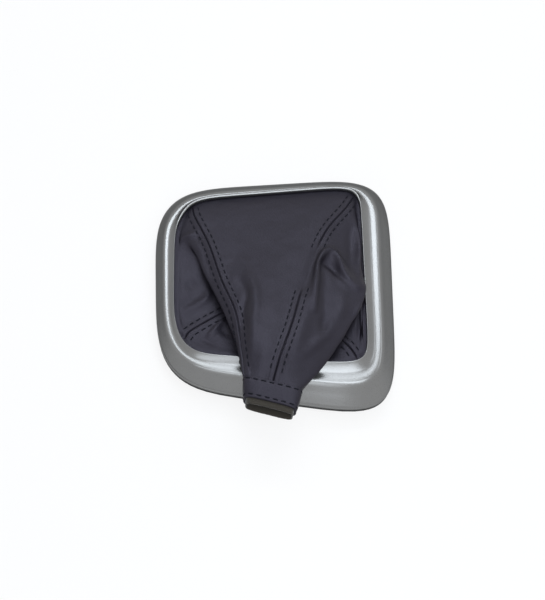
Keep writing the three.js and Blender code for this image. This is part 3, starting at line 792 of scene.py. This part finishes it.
lift += UNEVEN_BY * np.array([[unevenness(point) for point in row] for row in surface])
lift *= smoothstep(rows_v, 2.0, 2.8)[:, None]
surface = surface + normals * lift[..., None]
print("creases:", len(creases))

# %% [markdown]
# ## Seams
# Two panels are sewn face to face, opened out, and their allowances are caught by a row of topstitches on
# each side. So a seam is a tight valley with a fine ridge along each side, between two low pillows of doubled
# leather, and each row of stitches pulls a shallow channel. The relief is a function of the distance from the
# seam. For a short way beside the arch the right seam lies flat, so its relief fades out there.

# %% Seams
STITCH_ROW = 3.6
SEAM_REACH = 26  # columns on each side of a seam that its relief can touch
VALLEY_DEPTH = 0.62
RIDGE_HEIGHT = 0.14
PILLOW_HEIGHT = 0.42
CHANNEL_DEPTH = 0.30
RIGHT_SEAM = 10  # its guide line
FLAT_STRETCH = (4.1, 4.4, 5.0, 5.3)  # v where its relief starts to fade, is gone, starts again, is back


def distance_to(line, grid):
    """Distance from each point of the grid to a line through points."""
    steps = len(line) * 10
    at = np.linspace(0, len(line) - 1, steps)
    dense = np.stack([np.interp(at, np.arange(len(line)), line[:, k]) for k in range(3)], -1)
    tree = KDTree(steps)
    for index, point in enumerate(dense):
        tree.insert(point, index)
    tree.balance()
    return np.array([[tree.find(point)[2] for point in row] for row in grid])


seam_distance = np.full(surface.shape[:2], 99.0)
for column, last in panel_columns.values():
    reach = np.arange(column - SEAM_REACH, column + SEAM_REACH + 1) % column_count
    from_seam = distance_to(surface[:, column], surface[:, reach])
    seam_distance[:, reach] = np.minimum(seam_distance[:, reach], from_seam)
valley = -VALLEY_DEPTH * np.exp(-((seam_distance / 0.42) ** 2))
pillow = PILLOW_HEIGHT * (1 - smoothstep(seam_distance, 3.5, 5.0))
ridge = RIDGE_HEIGHT * np.exp(-(((seam_distance - 1.0) / 0.4) ** 2))
channel = -CHANNEL_DEPTH * np.exp(-(((seam_distance - STITCH_ROW) / 0.6) ** 2))
relief = (valley + ridge + pillow + channel) * smoothstep(rows_v, 1.7, 2.3)[:, None]
flat = smoothstep(rows_v, *FLAT_STRETCH[:2]) * (1 - smoothstep(rows_v, *FLAT_STRETCH[2:]))
near_right_seam = np.abs(columns_u - RIGHT_SEAM) < 0.95
relief[:, near_right_seam] *= 1 - flat[:, None]
normals = normals_of(surface)
surface = surface + normals * relief[..., None]
normals = normals_of(surface)
print("relief, mm:", round(float(relief.min()), 2), "to", round(float(relief.max()), 2))

# %% [markdown]
# ## Panels
# Each panel is cut from the surface between two seams, given the thickness of the leather and closed at its
# edges. Its last rows run on under the collar band, as the real ones are sewn into it.


# %% Panels
TAPER_SHARE = 0.72  # assumed: how much of its length times width a tapered cut fills
UNDER_BAND = (0.06, 0.12)  # how far the panels run on under the collar band, as shares of the band


def flat_cut(grid):
    """An estimate of the cut in metres: width, length and area. The area is that of the bent sheet."""
    length = np.linalg.norm(np.diff(grid, axis=0), axis=2).sum(axis=0).mean()
    a, b, c, d = grid[:-1, :-1], grid[:-1, 1:], grid[1:, 1:], grid[1:, :-1]
    one_half = np.linalg.norm(np.cross(b - a, c - a), axis=2)
    other_half = np.linalg.norm(np.cross(c - a, d - a), axis=2)
    area = (one_half + other_half).sum() / 2
    return area / (TAPER_SHARE * length) / 1000, length / 1000, area / 1e6


at_collar = np.radians(np.interp(columns_u % guide_count, np.arange(guide_count + 1), collar_bearing))
under_band = np.array([
    collar_points(share, at_collar, -0.35 * share / UNDER_BAND[1])
    for share in UNDER_BAND
])
outer_skin = np.concatenate([surface, under_band])
inner_skin = np.concatenate([surface - normals * LEATHER, under_band - normals[-1] * LEATHER])
panels, cuts = {}, {}
for name, (first, last) in panel_columns.items():
    here = np.arange(first, last + 1) % column_count
    outer, inner = outer_skin[:, here].copy(), inner_skin[:, here].copy()
    for skin in (outer, inner):
        skin[:, 0] += (skin[:, 1] - skin[:, 0]) * 0.01
        skin[:, -1] += (skin[:, -2] - skin[:, -1]) * 0.01
    rows, count = outer.shape[:2]
    half = rows * count
    faces = grid_faces(rows, count, False, False)
    lining_faces = faces[:, ::-1] + half
    index = np.arange(half).reshape(rows, count)
    rim_loop = np.concatenate([index[0], index[1:, -1], index[-1, -2::-1], index[-2:0:-1, 0]])
    after = np.roll(rim_loop, -1)
    edge = np.stack([after, rim_loop, rim_loop + half, after + half], -1)
    panels[name] = piece_from(
        name.replace("_panel", "_leather"),
        np.concatenate([outer.reshape(-1, 3), inner.reshape(-1, 3)]),
        np.concatenate([faces, lining_faces, edge]).tolist(),
        nappa,
    )
    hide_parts(name)
    cuts[name] = flat_cut(outer)
    print(name, "cut, mm:", [round(x * 1000) for x in cuts[name][:2]], "faces:", len(faces) * 2)

# %% [markdown]
# ## Topstitches
# A lockstitch shows as a row of short bars with small gaps, about 5 mm from bar to bar. Each bar is a little
# tube that arches over the leather and dives into its two holes. All the bars on one panel are one piece. The
# rows along the right seam leave out the stretch beside the arch where the seam lies flat.


# %% Topstitches
STITCH_PITCH = 4.9
STITCH_SHOWS = 3.5
THREAD_RADIUS = 0.42
STITCH_ARCH = 0.42
STITCH_SINK = 0.30
RINGS = 9
SIDES = 8
BAR_POINTS = RINGS * SIDES
NO_STITCHES = (4.3, 5.1)  # v along the right seam


def stitched_row(points, normals_there, lead_in=0.0, hidden=None):
    """Bars of thread along a line of points, and their faces; none where y lies in the hidden span."""
    length = np.concatenate([[0], np.cumsum(np.linalg.norm(np.diff(points, axis=0), axis=1))])
    starts = np.arange(lead_in, length[-1] - STITCH_SHOWS, STITCH_PITCH)
    if hidden is not None:
        depth = np.interp(starts + STITCH_SHOWS / 2, length, points[:, 1])
        starts = starts[(depth < hidden[0]) | (depth > hidden[1])]
    t = np.linspace(0, 1, RINGS)
    at = (starts[:, None] + STITCH_SHOWS * t).ravel()

    def look_up(values):
        found = np.stack([np.interp(at, length, values[:, k]) for k in range(3)], -1)
        return found.reshape(len(starts), RINGS, 3)

    spine, lifted = look_up(points), look_up(normals_there)
    lifted /= np.linalg.norm(lifted, axis=2, keepdims=True)
    along = np.gradient(spine, axis=1)
    along /= np.linalg.norm(along, axis=2, keepdims=True)
    aside = np.cross(along, lifted)
    arch = np.clip(np.sin(np.pi * t) * 1.6, 0, 1) * STITCH_ARCH - STITCH_SINK
    girth = THREAD_RADIUS * np.clip(1.15 - np.abs(2 * t - 1) ** 6, 0.2, 1)
    turn = np.linspace(0, 2 * np.pi, SIDES + 1)[:-1]
    ring = aside[:, :, None] * np.cos(turn)[:, None] + lifted[:, :, None] * 0.85 * np.sin(turn)[:, None]
    tube = spine[:, :, None] + lifted[:, :, None] * arch[:, None, None] + ring * girth[:, None, None]
    one_bar = grid_faces(RINGS, SIDES, False, True)[:, ::-1].tolist()
    one_bar += [list(range(SIDES))[::-1], list(range(BAR_POINTS - SIDES, BAR_POINTS))]
    faces = [[i + BAR_POINTS * bar for i in face] for bar in range(len(starts)) for face in one_bar]
    return tube.reshape(-1, 3), faces


def beside(column, side, offset):
    """The line on the leather that keeps this distance from the seam, on one side of it."""
    reach = (column + side * np.arange(24)) % column_count
    near = surface[:, reach]
    gap = seam_distance[:, reach]
    points, directions = [], []
    for row in range(len(rows_v)):
        beyond = int(np.argmax(gap[row] > offset))
        if beyond == 0:
            continue
        share = (offset - gap[row, beyond - 1]) / (gap[row, beyond] - gap[row, beyond - 1])
        points.append(near[row, beyond - 1] * (1 - share) + near[row, beyond] * share)
        directions.append(normals[row, reach[beyond]])
    return np.array(points), np.array(directions)


def smoothed(points, times=3):
    """A line with its small kinks evened out, its ends kept."""
    for _ in range(times):
        points[1:-1] = (points[:-2] + 2 * points[1:-1] + points[2:]) / 4
    return points


first_row = int(np.argmax(rows_v > 2.15))
last_row = int(np.argmax(rows_v > 7.9))
for name, (first, last) in panel_columns.items():
    points, faces = [], []
    for column, side in ((first, 1), (last % column_count, -1)):
        line, lifted = beside(column, side, STITCH_ROW)
        hidden = None
        if abs(columns_u[column] - RIGHT_SEAM) < 0.01:
            hidden = sorted(np.interp(NO_STITCHES, rows_v, surface[:, column, 1]))
        shown = slice(first_row, last_row)
        bars, bar_faces = stitched_row(smoothed(line[shown]), lifted[shown], 1.2, hidden)
        count = sum(len(p) for p in points)
        points.append(bars)
        faces += [[i + count for i in face] for face in bar_faces]
    piece_from(
        name.replace("_panel", "_topstitch"), np.concatenate(points), faces, navy_thread
    )

# %% [markdown]
# ## Collar band
# The collar is a strip of the same leather, folded round the end of the sleeve and caught by two rows of
# stitches. Between them it puffs out a little, and its mouth is a soft roll where the strip turns inside.

# %% Collar band
BAND_COLUMNS = 192
BAND_LENGTH = 13.6
BAND_STITCH_ROWS = (0.12, 0.87)
BAND_OUTSIDE = 0.42
BAND_INSIDE = -0.86
PULL_DEPTH = 0.24
PUFF_HEIGHT = 0.24
band_angles = even_angles(lambda a: collar_points(0.5, a)[..., [0, 2]], BAND_COLUMNS, 60)
band_shares = np.linspace(0, 1, 44)


def rolled(from_edge, radius):
    """How far a rounded edge has dropped, at a distance in millimetres from it."""
    return radius * (1 - np.sqrt(np.clip(1 - np.clip(1 - from_edge / radius, 0, 1) ** 2, 0, 1)))


roll = rolled(band_shares * BAND_LENGTH, 0.75)
roll += rolled((1 - band_shares) * BAND_LENGTH, 0.85)
pulls = sum(-PULL_DEPTH * np.exp(-(((band_shares - row) * BAND_LENGTH / 0.6) ** 2)) for row in BAND_STITCH_ROWS)
puff = PUFF_HEIGHT * np.sin(np.pi * np.clip((band_shares - BAND_STITCH_ROWS[0]) / 0.75, 0, 1))
outside = BAND_OUTSIDE + puff + pulls - roll
band_rows = [collar_points(share, band_angles, grow) for share, grow in zip(band_shares, outside)]
band_rows += [collar_points(share, band_angles, BAND_INSIDE) for share in np.linspace(0.985, 0.02, 12)]
band_grid = np.array(band_rows)
for r, c in np.ndindex(band_grid.shape[:2]):
    band_grid[r, c] += 0.16 * noise.noise(Vector(band_grid[r, c]) / 6) * np.array([0.4, 0.2, 1.0])
band = piece_from(
    "collar_leather",
    band_grid.reshape(-1, 3),
    grid_faces(*band_grid.shape[:2], True, True).tolist(),
    nappa,
)
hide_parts("collar_band")
print("band faces:", len(band.data.polygons))

# %% [markdown]
# ## Stitches of the collar
# Two rows hold the strip, one near each edge. They use the same bars as the panels, along closed lines of the
# band's grid.

# %% Stitches of the collar
points, faces = [], []
closed = np.append(np.arange(BAND_COLUMNS), 0)
for row in BAND_STITCH_ROWS:
    r = int(np.abs(band_shares - row).argmin())
    line = band_grid[r, closed]
    lifted = np.cross(np.gradient(line, axis=0), -run / run_length)
    if lifted[BAND_COLUMNS // 4, 2] < 0:
        lifted = -lifted
    bars, bar_faces = stitched_row(line, lifted)
    count = sum(len(p) for p in points)
    points.append(bars)
    faces += [[i + count for i in face] for face in bar_faces]
collar_thread = piece_from("collar_topstitch", np.concatenate(points), faces, navy_thread)

# %% [markdown]
# ## Lining of the collar
# The mouth shows the brown flesh side of the turned strip. It is its own thin layer inside the band, and its
# lip reaches about 3 mm past the band's end. A low nap makes its edge slightly uneven.

# %% Lining of the collar
lining_outside = [(t, -1.22, 0.3 + 2.6 * t**4) for t in np.linspace(0.02, 0.97, 16)]
lining_lip = [(1.0, -1.25, 2.95), (1.0, -1.4, 3.05), (1.0, -1.6, 3.08), (1.0, -1.78, 3.0), (1.0, -1.88, 2.8)]
lining_inside = [(t, -1.9, 0.3 + 2.5 * t**4) for t in np.linspace(0.97, 0.02, 16)]
lining_profile = lining_outside + lining_lip + lining_inside
lining_grid = np.array([
    collar_points(share, band_angles, grow, extra)
    for share, grow, extra in lining_profile
])
for r, c in np.ndindex(lining_grid.shape[:2]):
    lining_grid[r, c] += 0.12 * noise.noise(Vector(lining_grid[r, c]) / 2.5)
lining = piece_from(
    "collar_flesh_side",
    lining_grid.reshape(-1, 3),
    grid_faces(*lining_grid.shape[:2], True, True).tolist(),
    flesh_side,
)
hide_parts("collar_lining")
print("lining faces:", len(lining.data.polygons))

# %% [markdown]
# ## Carrier
# The carrier keeps its CAD mesh: a flange that sits on the console, a wall that clamps the leather, and eight
# clip legs. It only needs its plastic.

# %% Carrier
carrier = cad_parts["clip_frame"]
carrier.data.materials.clear()
carrier.data.materials.append(black_plastic)

# %% [markdown]
# ## What is cloth
# Each leather piece is a sheet with a flat size. For the panels that size is estimated by their cut above:
# their area is measured on the bent surface itself, so it can't show a stretch. Band and lining are strips.
# This cell only prints how many sheets there are.

# %% What is cloth
print("sheets declared:", len(panels) + 2)

# %% [markdown]
# ## Floor
# The photograph has a plain white ground. For the rays that show it to the eye this floor is mostly a white
# glow and partly matt paper, so it comes out near white and keeps a soft shadow under the part. All other
# rays meet plain paper.


# %% Floor
def shows_to_the_eye(tree):
    """A socket that is 1 for camera, glossy and transmission rays, and 0 for the rest."""
    ray = add(tree, "LightPath")
    direct = add(tree, "Math", {"operation": "ADD"}, _0=ray.outputs["Is Camera Ray"],
                 _1=ray.outputs["Is Glossy Ray"])
    either = add(tree, "Math", {"operation": "ADD", "use_clamp": True}, _0=direct.outputs["Value"],
                 _1=ray.outputs["Is Transmission Ray"])
    return either.outputs["Value"]


GLOW_SHARE = 0.86
FLOOR_HALF = 4
paper, tree, out = finish_named("matt white paper")
shader = add(tree, "BsdfPrincipled", Base_Color=(0.9, 0.9, 0.9, 1.0), Roughness=0.9)
white = add(tree, "Emission", Color=(1.0, 1.0, 1.0, 1.0), Strength=1.0)
seen = add(tree, "Math", {"operation": "MULTIPLY"}, _0=shows_to_the_eye(tree), _1=GLOW_SHARE)
cover = add(tree, "MixShader", _0=seen.outputs["Value"], _1=shader.outputs["BSDF"],
            _2=white.outputs["Emission"])
tree.links.new(cover.outputs["Shader"], out.inputs["Surface"])
floor_mesh = bpy.data.meshes.new("floor")
corners = [(-FLOOR_HALF, -FLOOR_HALF, 0), (FLOOR_HALF, -FLOOR_HALF, 0),
           (FLOOR_HALF, FLOOR_HALF, 0), (-FLOOR_HALF, FLOOR_HALF, 0)]
floor_mesh.from_pydata(corners, [], [(0, 1, 2, 3)])
floor_mesh.materials.append(paper)
floor = bpy.data.objects.new("floor", floor_mesh)
bpy.context.scene.collection.objects.link(floor)
print("floor at z = 0")

# %% [markdown]
# ## Light
# The photograph's light is soft and a little cool. Six rectangular lamps make it. One hangs behind the part
# and one over its near rail, where the level ledges of the far and near rails mirror them and turn bright.
# One in front hangs over the floor, and a low one further in front lights the near side of the folds. One on
# each side lights the side rails. The room adds a little even light, and is white for the rays that show it
# to the eye, so the silver mirrors a white surrounding.


# %% Light
COOL_WHITE = (0.85, 0.925, 1.0)
ROOM_LIGHT = 0.06
ON_THE_PART = (0, 0, 0.03)


def softbox(name, size, watts, place, target):
    """A rectangular lamp of this size in metres, at a place, turned toward a target."""
    lamp = bpy.data.lights.new(name, "AREA")
    lamp.shape = "RECTANGLE"
    lamp.size, lamp.size_y = size
    lamp.energy = watts
    lamp.color = COOL_WHITE
    lamp_object = bpy.data.objects.new(name, lamp)
    bpy.context.scene.collection.objects.link(lamp_object)
    lamp_object.location = place
    toward = Vector(target) - Vector(place)
    lamp_object.rotation_euler = toward.to_track_quat("-Z", "Y").to_euler()


softbox("overhead", (0.76, 0.24), 4.3, (0.03, 0.52, 0.8), (0.03, 0.52, 0))
softbox("strip over the near rail", (0.36, 0.5), 1.9, (0.03, 0.12, 0.8), (0.03, 0.12, 0))
softbox("front", (0.62, 0.6), 5.4, (0.14, -0.5, 0.8), (0.14, -0.5, 0))
softbox("low front", (1.2, 0.7), 7.2, (-0.45, -1.65, 0.9), ON_THE_PART)
softbox("right", (0.5, 0.6), 2.4, (1.0, 0.45, 0.8), (1.0, 0.45, 0))
softbox("left", (0.5, 0.6), 1.5, (-1.0, 0.45, 0.8), (-1.0, 0.45, 0))
world = bpy.data.worlds.new("room")
bpy.context.scene.world = world
world.use_nodes = True
tree = world.node_tree
tree.nodes.clear()
out = tree.nodes.new("ShaderNodeOutputWorld")
room = add(tree, "Background", Color=(1.0, 1.0, 1.0, 1.0), Strength=ROOM_LIGHT)
backdrop = add(tree, "Background", Color=(1.0, 1.0, 1.0, 1.0), Strength=1.0)
sky = add(tree, "MixShader", _0=shows_to_the_eye(tree), _1=room.outputs["Background"],
          _2=backdrop.outputs["Background"])
tree.links.new(sky.outputs["Shader"], out.inputs["Surface"])
bpy.context.scene.view_settings.view_transform = "Standard"

# %% [markdown]
# ## Size
# The dressed part should keep the frame's size. This cell only brings the scene up to date.

# %% Size
bpy.context.view_layer.update()
